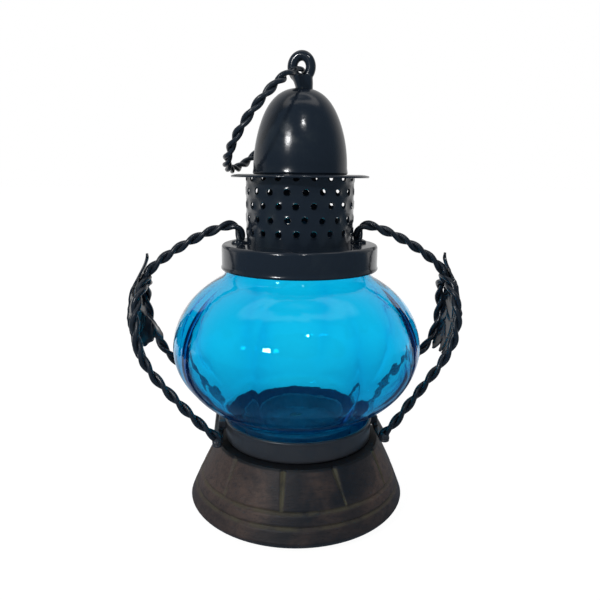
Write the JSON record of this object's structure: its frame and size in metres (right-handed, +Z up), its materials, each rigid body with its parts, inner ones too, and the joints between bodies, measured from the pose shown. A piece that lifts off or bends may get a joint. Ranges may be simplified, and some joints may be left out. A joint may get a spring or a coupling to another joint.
{
  "type": "candle lantern",
  "caption": "Small candle lantern with a turned wooden base, round blue glass globe, perforated chimney under a domed cap, twisted wire arms with leaves and a carrying ring.",
  "frame": {"origin": "middle of the wooden base's underside, which is the bottom centre of the bounding box", "axes": "+Z up along the lantern's axis; the two wire arms lie along +X and -X; -Y is the front"},
  "size_m": [0.128, 0.0968, 0.178],
  "materials": {
    "wood": "dark stained, worn along the turned rings",
    "enamel": "glossy black enamel",
    "steel": "plain",
    "glass": "clear blue, blown with soft ribs"
  },
  "bodies": {
    "base": {"wooden_base": "wood", "candle_cup": "enamel", "cup_screw_front": "steel", "cup_screw_rear": "steel"},
    "cage": {"lower_cup": "enamel", "glass_globe": "glass", "upper_collar": "enamel", "chimney": "enamel", "brim": "enamel", "dome": "enamel", "hanging_eye": "enamel", "arm_left": "enamel", "leg_front_left": "enamel", "leg_rear_left": "enamel", "leaf_left": "enamel", "strap_left": "enamel", "lug_left": "enamel", "arm_right": "enamel", "leg_front_right": "enamel", "leg_rear_right": "enamel", "leaf_right": "enamel", "strap_right": "enamel", "lug_right": "enamel"},
    "bail": {"carrying_ring": "enamel"}
  },
  "joints": [
    {"name": "cage_lift", "type": "slide", "parent": "base", "child": "cage", "axis": [0, 0, 1], "range_m": [0, 0.025]},
    {"name": "bail_swing", "type": "hinge", "parent": "cage", "child": "bail", "pos_m": [0.0005, 0, 0.1711], "axis": [0.2924, 0.9563, 0], "range_deg": [0, 284]}
  ]
}
